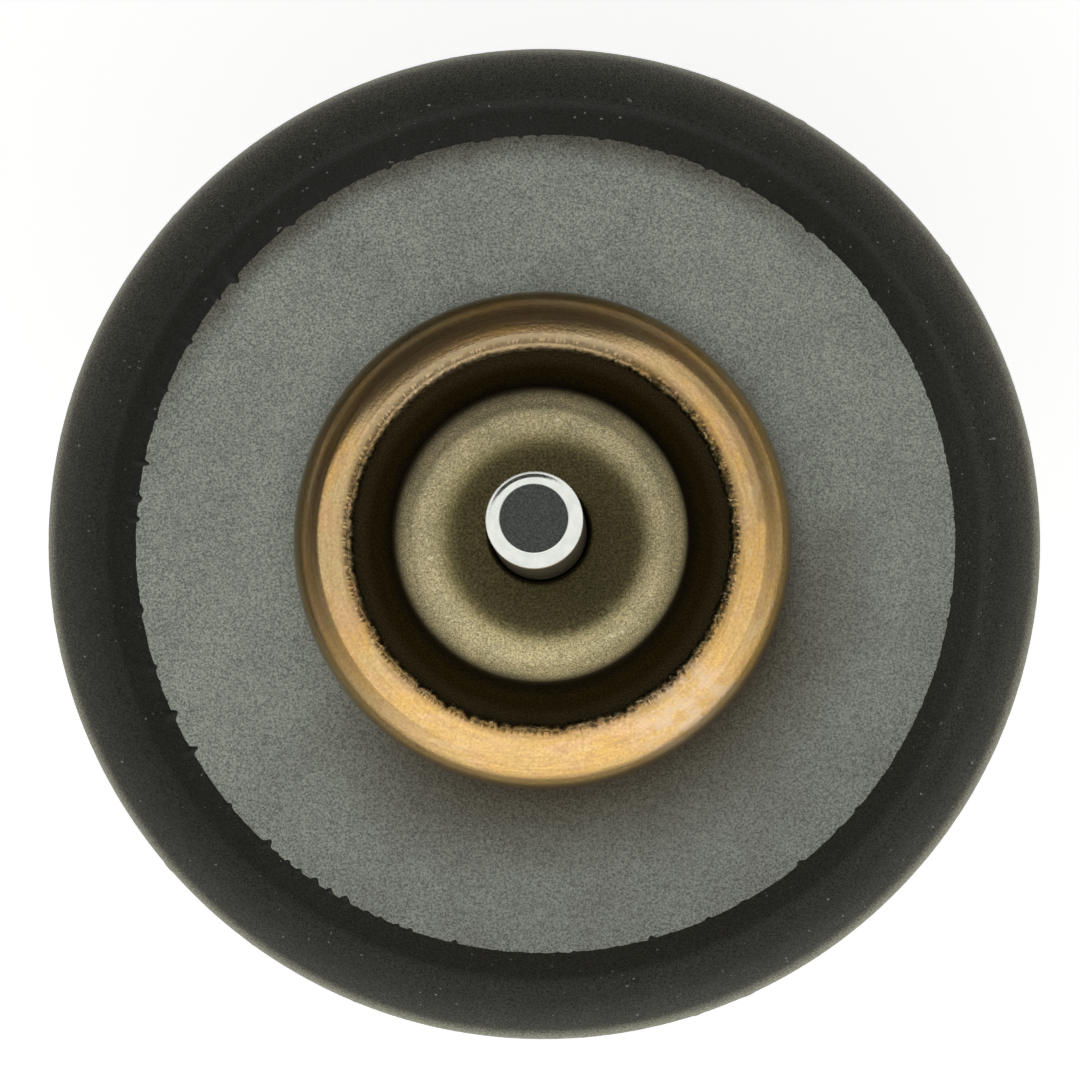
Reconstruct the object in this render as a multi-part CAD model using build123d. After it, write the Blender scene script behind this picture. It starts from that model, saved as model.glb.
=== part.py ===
"""Engine thermostat of the insert kind, without a frame of its own.

A wax element carries the rubber-edged valve plate. Its steel pin stands up through a brass guide
and bears on the housing's cover. The main spring presses a bracket down on a stop ring, and its
two ears rest on ledges in the housing. A sprung disc at the foot closes the bypass port.
Millimetres, +Z up along the pin, z = 0 on the underside of the bypass disc.
"""
from build123d import *
from math import cos, pi, radians, sin, sqrt, tan
import os

# Valve plate and rubber seal
SEAL_R = 20.0            # outside of the rubber
SEAL_TOP_WIDTH = 3.55    # rubber seen from above, outside to inner edge
SEAL_FOOT_WIDTH = 4.4    # rubber under the plate, outside to inner edge
SEAL_CREST_WIDTH = 2.3   # outside of the rubber to its sealing crest
SEAL_CREST = 1.0         # crest above the plate
SEAL_DROP = 2.8          # foot of the rubber below the plate's top
SEAL_SIDE = 0.6          # widest ring of the rubber below the plate's top
SEAL_FOOT_SWEEP = 1.7    # width of the rounding from the side to the foot
SEAL_ROUND = 0.5         # rounding of the crest and of the foot's inner edge
PLATE_T = 1.2            # plate sheet
PLATE_RIM_BACK = 1.5     # rubber outside the plate's edge
PLATE_RIM_LENGTH = 1.5   # level length of the bent rim
PLATE_RIM_BEND = 40.0    # degrees
PLATE_COLLAR_DROP = 2.0  # collar round the cup, below the sheet
PLATE_LEAD = 0.7         # rounding at the mouth of the collar
PLATE_CORNER = 0.35      # rounding between the collar and the sheet

# Wax cup
CUP_R = 7.0              # body
CUP_WALL = 0.8
CUP_BASE = 3.5           # solid foot of the cup
CUP_EDGE = 0.6           # rounding of the foot
CRIMP_R = 10.0           # outside of the rolled rim
CRIMP_WALL = 0.9
CRIMP_ROUND = 2.2        # outside radius of the roll
LIP_T = 0.8              # thickness of the rolled-in lip at its edge
LIP_WIDTH = 2.5          # outside of the rim to the lip's edge
LIP_ROUND = 0.34
LAND_WIDTH = 1.42        # sloping land on top of the lip, from its edge to the roll
LAND_SLOPE = 17.5        # degrees
CUP_SHELF = 0.7          # shelf under the boot's flange
TAIL_R = 3.0             # stem under the cup
TAIL_CHAMFER = 0.4

# Guide, pin and boot
GUIDE_H = 6.0            # top of the guide above the plate
GUIDE_FLANGE_T = 1.05    # flange at the lip's edge
FLANGE_SLOPE = 25.0      # degrees, the flange's rim under the rolled lip
NECK_R = 5.9
NECK_ROUND = 0.75
DOME_WIDTH = 2.05        # sloping part of the neck's top
DOME_SLOPE = 16.0        # degrees
DOME_ROUND = 2.7         # blend from the slope into the flat round the bore
NECK_FLAT = 0.2          # least flat round the bore on top of the neck
NECK_FOOT_ROUND = 0.4    # where the neck meets the flange
PIN_R = 1.875
PIN_OUT = 8.5            # pin above the guide at rest
PIN_LENGTH = 33.5
PIN_CHAMFER = 0.55       # width of the tip's chamfer, seen from above
PIN_CHAMFER_LENGTH = 0.95
PIN_TAPER = 6.0          # length of the tapered inner end
PIN_NOSE_R = 1.2
BOOT_WALL = 1.15
BOOT_END = 1.6           # closed end below the pin
BOOT_ROUND = 1.2         # rounding of the closed end
BOOT_FLANGE_T = 0.45
BOOT_FLANGE_BACK = 0.6   # flange edge inside the guide's edge
BACKUP_R = 3.3
BACKUP_T = 1.2

# Main spring
WIRE = 2.2
SPRING_LENGTH = 21.5     # installed, between its seats
SPRING_TURNS = 3.25      # active turns

# Bracket
STRAP_T = 1.3
STRAP_WIDTH = 13.0
HUB_R = 12.2
ARM_OUT = 16.8           # axis to the arm's outer face
EAR_R = 19.6             # axis to the ear's rounded end
EAR_RISE = 11.0          # ear's underside above the hub's underside
BEND_R = 1.0             # inside radius of the bends
HUB_COLLAR = 2.2         # collar above the hub sheet
HUB_BLEND = 2.5          # rounding where the strap leaves the hub
DART_LEG = 3.2           # pressed stiffening dart, leg along each face
DART_WIDTH = 2.6
DART_DENT = 0.9          # width of the dent on the dart's back
SEAT_NOTCH_R = 1.6       # drain notch in the edge of the hub

# Stop ring and washer
STOP_RING_T = 0.9
STOP_RING_OVER = 1.5     # ring outside the cup's body
STOP_GROOVE_DEPTH = 0.75
STOP_GROOVE_UP = 0.7     # groove above the cup's foot
STOP_RING_MOUTH = 50.0   # degrees
STOP_LUG_R = 1.3
STOP_LUG_HOLE_R = 0.55
STOP_LUG_ANGLE = 10.0    # degrees from the mouth's side to the lug
STOP_WASHER_T = 0.9
STOP_WASHER_OVER = 2.5   # washer outside the cup's body

# Bypass disc, its spring, washer and clip
DISC_R = 14.5
DISC_T = 1.2
DISC_HUB_R = 7.4         # flat top of the raised hub
DISC_SLOPE = 45.0        # degrees
DISC_ROUND = 0.7         # rounding of the pressed bends
DISC_EDGE = 0.3          # chamfer on the upper edge
BYPASS_WIRE = 1.0
BYPASS_LENGTH = 6.9      # installed, between its seats
BYPASS_TURNS = 2.0       # active turns
BYPASS_EDGE = 0.4        # wire inside the edge of the hub
THRUST_T = 0.6
THRUST_OVER = 2.6        # washer outside the stem
CLIP_T = 0.8
CLIP_OVER = 2.0          # clip outside the stem
CLIP_GROOVE_DEPTH = 0.7
CLIP_BAND = 1.3          # width of the clip's band
CLIP_LUG_WIDTH = 1.5
TAIL_LAND = 0.7          # stem below the clip
FLOOR_GAP = 0.3          # stem above the face that the disc closes on

# Clearances
RUNNING_GAP = 0.03       # pin in its guide, on radius
BOOT_GAP = 0.06          # pin in the boot, on radius
SLIDE_GAP = 0.3          # bracket on the cup, on radius
DISC_GAP = 0.25          # bypass disc on the stem, on radius
PLATE_GAP = 0.1          # plate on the cup, on radius
WASHER_GAP = 0.1         # loose washers on what they go round, on radius
SPRING_GAP = 0.3         # spring beside the collar or rubber that centres it
COIL_GAP = 0.12          # between the closed end turns of a spring
GROOVE_GAP = 0.1         # clip in its groove, upward
OVERCUT = 1.0            # a cut runs this far past what it cuts

# Heights, stacked up from the bypass disc
CLIP_Z = FLOOR_GAP + TAIL_LAND
DISC_DISH = CLIP_Z + CLIP_T + THRUST_T
HUB_TOP_Z = DISC_DISH + DISC_T
CUP_Z = HUB_TOP_Z + BYPASS_LENGTH
STOP_RING_Z = CUP_Z + STOP_GROOVE_UP
STOP_WASHER_Z = STOP_RING_Z + STOP_RING_T
BRACKET_Z = STOP_WASHER_Z + STOP_WASHER_T
SPRING_Z = BRACKET_Z + STRAP_T
PLATE_UNDER_Z = SPRING_Z + SPRING_LENGTH
PLATE_Z = PLATE_UNDER_Z + PLATE_T
SHELF_Z = PLATE_Z + CUP_SHELF
GUIDE_UNDER_Z = SHELF_Z + BOOT_FLANGE_T
GUIDE_TOP_Z = PLATE_Z + GUIDE_H
PIN_TIP_Z = GUIDE_TOP_Z + PIN_OUT
PIN_NOSE_Z = PIN_TIP_Z - PIN_LENGTH

# Radii that follow from what they fit
GUIDE_FLANGE_R = CRIMP_R - CRIMP_WALL
LIP_R = CRIMP_R - LIP_WIDTH
BORE_R = PIN_R + RUNNING_GAP
BOOT_BORE_R = PIN_R + BOOT_GAP
BOOT_R = BOOT_BORE_R + BOOT_WALL
HUB_HOLE_R = CUP_R + SLIDE_GAP
HUB_COLLAR_R = HUB_HOLE_R + STRAP_T
SEAL_FOOT_R = SEAL_R - SEAL_FOOT_WIDTH
SPRING_TOP_R = SEAL_FOOT_R - SPRING_GAP - WIRE / 2
SPRING_FOOT_R = HUB_COLLAR_R + SPRING_GAP + WIRE / 2
BYPASS_TOP_R = TAIL_R + SPRING_GAP + BYPASS_WIRE / 2 + DISC_GAP
BYPASS_FOOT_R = DISC_HUB_R - BYPASS_EDGE - BYPASS_WIRE / 2
PLATE_EDGE_R = SEAL_R - PLATE_RIM_BACK
PLATE_FLAT_R = PLATE_EDGE_R - PLATE_RIM_LENGTH


def turned(outline):
    """Turn a closed half section, given as (radius, height), about the pin's axis."""
    return revolve(Plane.XZ * make_face(outline), Axis.Z)


def corner(face, radius, height):
    """The corner of a flat section nearest to a point."""
    return face.vertices().sort_by_distance(Vector(radius, height, 0))[0]


def rod(radius, low, high):
    """A plain round between two heights."""
    return Pos(0, 0, low) * extrude(Circle(radius), high - low)


def tube(inner, outer, low, high):
    """A plain ring between two radii and two heights."""
    return rod(outer, low, high) - rod(inner, low, high)


def flange_top():
    """Heights of the guide's flange: where the lip's edge closes on it, and at its sloping rim."""
    seat_z = GUIDE_UNDER_Z + GUIDE_FLANGE_T
    return seat_z, seat_z - (GUIDE_FLANGE_R - LIP_R) * tan(radians(FLANGE_SLOPE))


def crimp_outside():
    """Corners of the rolled rim's outside: top of the upright side, foot of the land, lip's edge."""
    seat_z, _ = flange_top()
    edge = (LIP_R, seat_z + LIP_T)
    ridge_r = LIP_R + LAND_WIDTH
    ridge = (ridge_r, edge[1] - LAND_WIDTH * tan(radians(LAND_SLOPE)))
    reach = ridge_r - (CRIMP_R - CRIMP_ROUND)
    side = (CRIMP_R, ridge[1] - sqrt(CRIMP_ROUND ** 2 - reach ** 2))
    return side, ridge, edge


def valve_plate():
    """Pressed disc: collar round the cup, flat web, rim bent down inside the rubber."""
    bend = radians(PLATE_RIM_BEND)
    bore = CUP_R + PLATE_GAP
    edge_z = PLATE_Z - PLATE_RIM_LENGTH * tan(bend)
    under_r = PLATE_FLAT_R - PLATE_T * tan(bend / 2)
    outline = Polyline(
        (bore, PLATE_UNDER_Z - PLATE_COLLAR_DROP),
        (bore, PLATE_Z),
        (PLATE_FLAT_R, PLATE_Z),
        (PLATE_EDGE_R, edge_z),
        (PLATE_EDGE_R - PLATE_T * sin(bend), edge_z - PLATE_T * cos(bend)),
        (under_r, PLATE_UNDER_Z),
        (bore + PLATE_T, PLATE_UNDER_Z),
        (bore + PLATE_T, PLATE_UNDER_Z - PLATE_COLLAR_DROP),
        close=True,
    )
    section = make_face(outline)
    section = fillet(corner(section, bore, PLATE_Z), PLATE_LEAD)
    section = fillet(corner(section, bore + PLATE_T, PLATE_UNDER_Z), PLATE_CORNER)
    return revolve(Plane.XZ * section, Axis.Z)


def valve_seal(plate):
    """Rubber ring moulded round the plate's rim, with its sealing crest on top."""
    inner = SEAL_R - SEAL_TOP_WIDTH
    crest_r = SEAL_R - SEAL_CREST_WIDTH
    crest_z = PLATE_Z + SEAL_CREST
    side_z = PLATE_Z - SEAL_SIDE
    foot_z = PLATE_Z - SEAL_DROP
    upper = EllipticalCenterArc((crest_r, side_z), SEAL_CREST_WIDTH, crest_z - side_z)
    lower = EllipticalCenterArc((SEAL_R - SEAL_FOOT_SWEEP, side_z), SEAL_FOOT_SWEEP,
                                side_z - foot_z, start_angle=270)
    back = Polyline((SEAL_R - SEAL_FOOT_SWEEP, foot_z), (SEAL_FOOT_R, foot_z),
                    (SEAL_FOOT_R, PLATE_UNDER_Z), (inner, PLATE_Z), (crest_r, crest_z))
    section = make_face(upper.edges() + lower.edges() + back.edges())
    section = fillet(corner(section, crest_r, crest_z), SEAL_ROUND)
    section = fillet(corner(section, SEAL_FOOT_R, foot_z), SEAL_ROUND)
    return revolve(Plane.XZ * section, Axis.Z) - plate


def wax_cup():
    """Cold-formed copper cup with its stem, its two grooves and its rolled-in rim."""
    side, ridge, edge = crimp_outside()
    seat_z, rim_z = flange_top()
    cavity_r = CUP_R - CUP_WALL
    cavity_z = CUP_Z + CUP_BASE
    outside = [
        Polyline((0, FLOOR_GAP), (TAIL_R - TAIL_CHAMFER, FLOOR_GAP),
                 (TAIL_R, FLOOR_GAP + TAIL_CHAMFER), (TAIL_R, CUP_Z), (CUP_R, CUP_Z),
                 (CUP_R, PLATE_Z), (CRIMP_R, PLATE_Z), side),
        RadiusArc(side, ridge, -CRIMP_ROUND),
        Polyline(ridge, edge, (LIP_R, seat_z), (GUIDE_FLANGE_R, rim_z),
                 (GUIDE_FLANGE_R, SHELF_Z), (cavity_r, SHELF_Z), (cavity_r, cavity_z),
                 (0, cavity_z), (0, FLOOR_GAP)),
    ]
    section = make_face(outside)
    section = fillet(corner(section, CUP_R, CUP_Z), CUP_EDGE)
    section = fillet(corner(section, cavity_r, cavity_z), CUP_EDGE)
    section = fillet(corner(section, *edge), LIP_ROUND)
    cup = revolve(Plane.XZ * section, Axis.Z)
    cup -= tube(CUP_R - STOP_GROOVE_DEPTH, CUP_R + OVERCUT, STOP_RING_Z,
                STOP_RING_Z + STOP_RING_T + GROOVE_GAP)
    cup -= tube(TAIL_R - CLIP_GROOVE_DEPTH, TAIL_R + OVERCUT, CLIP_Z, CLIP_Z + CLIP_T + GROOVE_GAP)
    return cup


def piston_guide():
    """Turned brass guide: flange under the rolled rim, neck with a low dome, pin bore."""
    seat_z, rim_z = flange_top()
    slope = radians(DOME_SLOPE)
    dome_r = NECK_R - DOME_WIDTH
    shoulder_z = GUIDE_TOP_Z - DOME_WIDTH * tan(slope)
    outline = Polyline(
        (BORE_R, GUIDE_UNDER_Z + BACKUP_T),
        (BACKUP_R, GUIDE_UNDER_Z + BACKUP_T),
        (BACKUP_R, GUIDE_UNDER_Z),
        (GUIDE_FLANGE_R, GUIDE_UNDER_Z),
        (GUIDE_FLANGE_R, rim_z),
        (LIP_R, seat_z),
        (NECK_R, seat_z),
        (NECK_R, shoulder_z),
        (dome_r, GUIDE_TOP_Z),
        (BORE_R, GUIDE_TOP_Z),
        close=True,
    )
    section = make_face(outline)
    dome_round = min(DOME_ROUND, (dome_r - BORE_R - NECK_FLAT) / tan(slope / 2))
    section = fillet(corner(section, dome_r, GUIDE_TOP_Z), dome_round)
    section = fillet(corner(section, NECK_R, shoulder_z), NECK_ROUND)
    section = fillet(corner(section, NECK_R, seat_z), NECK_FOOT_ROUND)
    return revolve(Plane.XZ * section, Axis.Z)


def backup_washer():
    """Slippery washer that keeps the boot from being squeezed up along the pin."""
    return tube(PIN_R + RUNNING_GAP, BACKUP_R, GUIDE_UNDER_Z, GUIDE_UNDER_Z + BACKUP_T)


def piston_pin():
    """Hardened stainless pin: chamfered tip outside, long taper inside the boot."""
    tip_r = PIN_R - PIN_CHAMFER
    outline = Polyline(
        (0, PIN_NOSE_Z),
        (PIN_NOSE_R, PIN_NOSE_Z),
        (PIN_R, PIN_NOSE_Z + PIN_TAPER),
        (PIN_R, PIN_TIP_Z - PIN_CHAMFER_LENGTH),
        (tip_r, PIN_TIP_Z),
        (0, PIN_TIP_Z),
        close=True,
    )
    return turned(outline)


def boot_outside():
    """The boot as a solid body: closed end, sleeve, and the flange clamped under the guide."""
    end_z = PIN_NOSE_Z - BOOT_GAP - BOOT_END
    flange_r = GUIDE_FLANGE_R - BOOT_FLANGE_BACK
    outline = Polyline(
        (0, end_z),
        (BOOT_R, end_z),
        (BOOT_R, SHELF_Z),
        (flange_r, SHELF_Z),
        (flange_r, GUIDE_UNDER_Z),
        (0, GUIDE_UNDER_Z),
        close=True,
    )
    section = fillet(corner(make_face(outline), BOOT_R, end_z), BOOT_ROUND)
    return revolve(Plane.XZ * section, Axis.Z)


def rubber_boot(outside):
    """Rubber sleeve that the wax squeezes, with a bore that follows the pin's taper."""
    bore = Polyline(
        (0, PIN_NOSE_Z - BOOT_GAP),
        (PIN_NOSE_R + BOOT_GAP, PIN_NOSE_Z - BOOT_GAP),
        (BOOT_BORE_R, PIN_NOSE_Z + PIN_TAPER),
        (BOOT_BORE_R, GUIDE_UNDER_Z),
        (0, GUIDE_UNDER_Z),
        close=True,
    )
    return outside - turned(bore)


def wax_pellet(boot):
    """Wax charge: all the room between the cup and the boot."""
    radius = CUP_R - CUP_WALL
    low = CUP_Z + CUP_BASE
    section = Pos(0, low) * Rectangle(radius, SHELF_Z - low, align=(Align.MIN, Align.MIN))
    section = fillet(corner(section, radius, low), CUP_EDGE)
    return revolve(Plane.XZ * section, Axis.Z) - boot


def coil_spring(wire, foot_r, top_r, low, high, turns):
    """Tapered spring with closed ends ground flat on its two seats.

    The turns rise slowly in the closed end turns and evenly between them, and the radius
    changes only along the active turns.
    """
    end_pitch = wire + COIL_GAP
    start_z = low - wire / 4
    climb = high - low + wire / 2 - 2 * end_pitch
    total = turns + 2
    per_turn = 12
    count = round(total * per_turn)
    points = []
    for i in range(count + 1):
        turn = total * i / count
        active = min(max(turn - 1, 0), turns) / turns
        closed = min(turn, 1) + max(turn - 1 - turns, 0)
        radius = foot_r + (top_r - foot_r) * active
        angle = 2 * pi * turn
        z = start_z + end_pitch * closed + climb * active
        points.append((radius * cos(angle), radius * sin(angle), z))
    path = Spline(points)
    section = Plane(origin=path @ 0, z_dir=path % 0) * Circle(wire / 2)
    coil = sweep(section, path=path, is_frenet=True)
    reach = max(foot_r, top_r) + 2 * wire
    return coil & rod(reach, low, high)


def main_spring():
    """Spring that holds the valve shut, from the bracket's hub up to the plate."""
    return coil_spring(WIRE, SPRING_FOOT_R, SPRING_TOP_R, SPRING_Z, PLATE_UNDER_Z, SPRING_TURNS)


def bypass_spring():
    """Small spring from the disc's hub up to the foot of the cup."""
    return coil_spring(BYPASS_WIRE, BYPASS_FOOT_R, BYPASS_TOP_R, HUB_TOP_Z, CUP_Z, BYPASS_TURNS)


def bracket_dart():
    """Pressed dart in the bend at the foot of the arm on +X: what it adds and what it takes."""
    inner_x = ARM_OUT - STRAP_T
    inner_z = BRACKET_Z + STRAP_T
    add = make_face(Polyline((inner_x, inner_z), (inner_x - DART_LEG, inner_z),
                             (inner_x, inner_z + DART_LEG), close=True))
    dent = DART_LEG + STRAP_T * (2 - sqrt(2))
    cut = make_face(Polyline((ARM_OUT, BRACKET_Z), (ARM_OUT - dent, BRACKET_Z),
                             (ARM_OUT, BRACKET_Z + dent), close=True))
    add_solid = extrude(Plane.XZ * add, DART_WIDTH / 2, both=True)
    cut_solid = extrude(Plane.XZ * cut, DART_DENT / 2, both=True)
    return add_solid, cut_solid


def spring_bracket():
    """Pressed strap: hub with a turned-up collar, two arms, and ears turned out at their tops."""
    low = BRACKET_Z
    top = BRACKET_Z + STRAP_T
    ear = BRACKET_Z + EAR_RISE
    inner_x = ARM_OUT - STRAP_T
    ear_end = EAR_R + OVERCUT
    section = make_face(Polyline(
        (0, low), (ARM_OUT, low), (ARM_OUT, ear), (ear_end, ear), (ear_end, ear + STRAP_T),
        (inner_x, ear + STRAP_T), (inner_x, top), (0, top), close=True))
    section = fillet(corner(section, ARM_OUT, low), BEND_R + STRAP_T)
    section = fillet(corner(section, inner_x, top), BEND_R)
    section = fillet(corner(section, ARM_OUT, ear), BEND_R)
    section = fillet(corner(section, inner_x, ear + STRAP_T), BEND_R + STRAP_T)
    arm = extrude(Plane.XZ * section, STRAP_WIDTH / 2, both=True)
    strap = arm + mirror(arm, Plane.YZ)
    strap += rod(HUB_R, low, top)
    corners = [edge for edge in strap.edges().filter_by(Axis.Z)
               if abs(edge.center().X) < HUB_R and abs(edge.center().Z - (low + top) / 2) < STRAP_T]
    strap = fillet(corners, HUB_BLEND)
    add, cut = bracket_dart()
    for side in (0, 180):
        strap += Rot(0, 0, side) * add
        strap -= Rot(0, 0, side) * cut
    strap += rod(HUB_COLLAR_R, low, top + HUB_COLLAR)
    strap -= rod(HUB_HOLE_R, low - OVERCUT, top + HUB_COLLAR + OVERCUT)
    notch = Pos(HUB_R, 0, 0) * rod(SEAT_NOTCH_R, low - OVERCUT, top + OVERCUT)
    for side in (90, 270):
        strap -= Rot(0, 0, side) * notch
    return strap & rod(EAR_R, low - OVERCUT, ear + STRAP_T + OVERCUT)


def stop_washer():
    """Hardened washer under the bracket's hub."""
    return tube(CUP_R + WASHER_GAP, CUP_R + STOP_WASHER_OVER, STOP_WASHER_Z,
                STOP_WASHER_Z + STOP_WASHER_T)


def stop_ring():
    """Spring-steel ring in the cup's groove, with a lug and a plier hole each side of its mouth."""
    inner = CUP_R - STOP_GROOVE_DEPTH
    outer = CUP_R + STOP_RING_OVER
    lug_angle = STOP_RING_MOUTH / 2 + STOP_LUG_ANGLE
    ring = Circle(outer)
    for angle in (lug_angle, -lug_angle):
        ring += Rot(0, 0, angle) * Pos(outer, 0) * Circle(STOP_LUG_R)
    ring -= Circle(inner)
    half = radians(STOP_RING_MOUTH / 2)
    reach = 3 * outer
    mouth = make_face(Polyline((0, 0), (reach * cos(half), reach * sin(half)),
                               (reach * cos(half), -reach * sin(half)), close=True))
    ring -= mouth
    for angle in (lug_angle, -lug_angle):
        ring -= Rot(0, 0, angle) * Pos(outer, 0) * Circle(STOP_LUG_HOLE_R)
    return Rot(0, 0, 90) * Pos(0, 0, STOP_RING_Z) * extrude(ring, STOP_RING_T)


def bypass_disc():
    """Pressed disc: flat sealing rim at the foot, raised hub that slides on the stem."""
    slope = radians(DISC_SLOPE)
    bore = TAIL_R + DISC_GAP
    run = DISC_DISH / tan(slope)
    shift = DISC_T * tan(slope / 2)
    outline = Polyline(
        (bore, DISC_DISH),
        (DISC_HUB_R - shift, DISC_DISH),
        (DISC_HUB_R - shift + run, 0),
        (DISC_R, 0),
        (DISC_R, DISC_T),
        (DISC_HUB_R + run, DISC_T),
        (DISC_HUB_R, HUB_TOP_Z),
        (bore, HUB_TOP_Z),
        close=True,
    )
    section = make_face(outline)
    for point in ((DISC_HUB_R, HUB_TOP_Z), (DISC_HUB_R + run, DISC_T),
                  (DISC_HUB_R - shift, DISC_DISH), (DISC_HUB_R - shift + run, 0)):
        section = fillet(corner(section, *point), DISC_ROUND)
    section = chamfer(corner(section, DISC_R, DISC_T), DISC_EDGE)
    return revolve(Plane.XZ * section, Axis.Z)


def thrust_washer():
    """Washer between the disc and the clip."""
    return tube(TAIL_R + WASHER_GAP, TAIL_R + THRUST_OVER, CLIP_Z + CLIP_T, DISC_DISH)


def retaining_clip():
    """Three-lugged clip pushed into the stem's groove from the side."""
    outer = TAIL_R + CLIP_OVER
    groove_r = TAIL_R - CLIP_GROOVE_DEPTH
    clip = Circle(outer) - Circle(outer - CLIP_BAND)
    for angle in (0, 90, 180):
        lug = Rectangle(outer - CLIP_BAND / 2, CLIP_LUG_WIDTH, align=(Align.MIN, Align.CENTER))
        clip += Rot(0, 0, angle) * lug
    clip -= Circle(groove_r)
    mouth = Rectangle(2 * groove_r, 2 * outer, align=(Align.CENTER, Align.MAX))
    clip -= mouth
    return Pos(0, 0, CLIP_Z) * extrude(clip, CLIP_T)


def build():
    """All the pieces by name, at rest with the valve shut."""
    plate = valve_plate()
    boot = boot_outside()
    return {
        "valve_plate": plate,
        "valve_seal": valve_seal(plate),
        "wax_cup": wax_cup(),
        "piston_guide": piston_guide(),
        "backup_washer": backup_washer(),
        "rubber_boot": rubber_boot(boot),
        "wax_pellet": wax_pellet(boot),
        "piston_pin": piston_pin(),
        "main_spring": main_spring(),
        "spring_bracket": spring_bracket(),
        "stop_washer": stop_washer(),
        "stop_ring": stop_ring(),
        "bypass_spring": bypass_spring(),
        "bypass_disc": bypass_disc(),
        "thrust_washer": thrust_washer(),
        "retaining_clip": retaining_clip(),
    }


os.makedirs("parts", exist_ok=True)
for name, solid in build().items():
    export_step(solid, f"parts/{name}.step")
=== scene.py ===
from math import ceil, cos, pi, radians, sin, tan

import bmesh
import bpy
from mathutils import Matrix, Vector, noise


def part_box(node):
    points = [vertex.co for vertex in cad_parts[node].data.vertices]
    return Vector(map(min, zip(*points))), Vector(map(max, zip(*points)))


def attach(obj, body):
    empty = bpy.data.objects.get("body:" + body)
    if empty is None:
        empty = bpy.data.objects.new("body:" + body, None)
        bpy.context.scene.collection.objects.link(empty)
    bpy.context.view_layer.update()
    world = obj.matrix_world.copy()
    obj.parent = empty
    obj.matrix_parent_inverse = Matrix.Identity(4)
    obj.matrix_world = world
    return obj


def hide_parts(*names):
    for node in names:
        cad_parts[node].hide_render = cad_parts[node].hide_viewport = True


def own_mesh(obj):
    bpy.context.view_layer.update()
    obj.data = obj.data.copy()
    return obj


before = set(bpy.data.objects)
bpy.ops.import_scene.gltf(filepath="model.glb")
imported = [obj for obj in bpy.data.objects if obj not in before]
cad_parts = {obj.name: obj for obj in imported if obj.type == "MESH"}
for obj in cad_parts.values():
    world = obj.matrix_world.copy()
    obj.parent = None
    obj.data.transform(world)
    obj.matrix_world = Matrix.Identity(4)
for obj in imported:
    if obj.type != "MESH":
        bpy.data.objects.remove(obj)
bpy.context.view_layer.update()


# Wax cup: cold-formed from copper alloy in one piece, with a solid stem below for the bypass disc.
# Its rim is rolled in over the guide by a roller, which burnishes the outside of the roll and
# leaves the cut edge of the lip slightly torn. Two grooves take the stop ring and the clip.
MM = 0.001
plate_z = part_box("valve_plate")[1].z
cup_low, cup_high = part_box("wax_cup")
foot_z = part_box("bypass_spring")[1].z
ring_low, ring_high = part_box("stop_ring")
clip_low, clip_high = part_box("retaining_clip")
crimp_r = cup_high.x
CUP_R = 7.0 * MM
CUP_WALL = 0.8 * MM
CUP_BASE = 3.5 * MM
CUP_SHELF = 0.7 * MM
CUP_CORNER = 0.6 * MM
STEM_R = 3.0 * MM
STEM_EDGE = 0.4 * MM
GROOVE_GAP = 0.1 * MM
RING_GROOVE = 0.75 * MM
CLIP_GROOVE = 0.7 * MM
CUT_EDGE = 0.08 * MM
EDGE_FLAT = 0.12 * MM
LIP_RISE = 3.0 * MM
LIP_R = 7.5 * MM
LIP_EDGE = 0.24 * MM
LIP_T = 0.8 * MM
LAND_R = 8.92 * MM
LAND_TILTS = (15.8, 20.8)
ROLL_TILTS = (28.5, 49.5)
ROLL_WIDTH = 0.70 * MM
CRIMP_WALL = 0.9 * MM
FLANGE_DROP = 0.75 * MM
TEAR = 0.15 * MM
TEAR_REACH = 0.50 * MM
TEAR_WAVES = 9
TEAR_TEETH = 34
TEAR_BURRS = 52
TEAR_CRUMBS = 95
CUP_POINTS = 1080
WARM_COPPER = (0.68, 0.42, 0.14)
PALE_COPPER = (0.61, 0.45, 0.225)
PINK_COPPER = (0.69, 0.44, 0.235)
BARE_COPPER = (0.72, 0.54, 0.29)
BLUSHED_COPPER = (0.58, 0.355, 0.18)
SCORED_COPPER = (0.42, 0.27, 0.11)
BRIGHT_COPPER = (0.83, 0.585, 0.255)
HIGHLIGHT_COPPER = (1.0, 0.78, 0.46)
BROWN_TARNISH = (0.10, 0.065, 0.025)
DUSKY_TARNISH = (0.16, 0.105, 0.045)
LAP_TARNISH = (0.20, 0.13, 0.055)
ROLL_FOOT_SHADE = (0.13, 0.085, 0.035)
PALE_SMEAR = (0.66, 0.50, 0.34)
EDGE_SHADE_BROWN = (0.30, 0.215, 0.09)
SHADED_EDGE = (0.055, 0.043, 0.016)
EDGE_SPARK = (0.80, 0.66, 0.38)
PALE_SIDE = 125.0
TARNISH_SIDE = 138.0
FAR_LIP_SIDE = 105.0
SMEAR_SIDE = -50.0
LAP_START = 93.5
LAP_SIDE = 15.0
WORN_SIDE = 5.0
TORN_SIDE = -10.0
lip_z = plate_z + LIP_RISE


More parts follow.
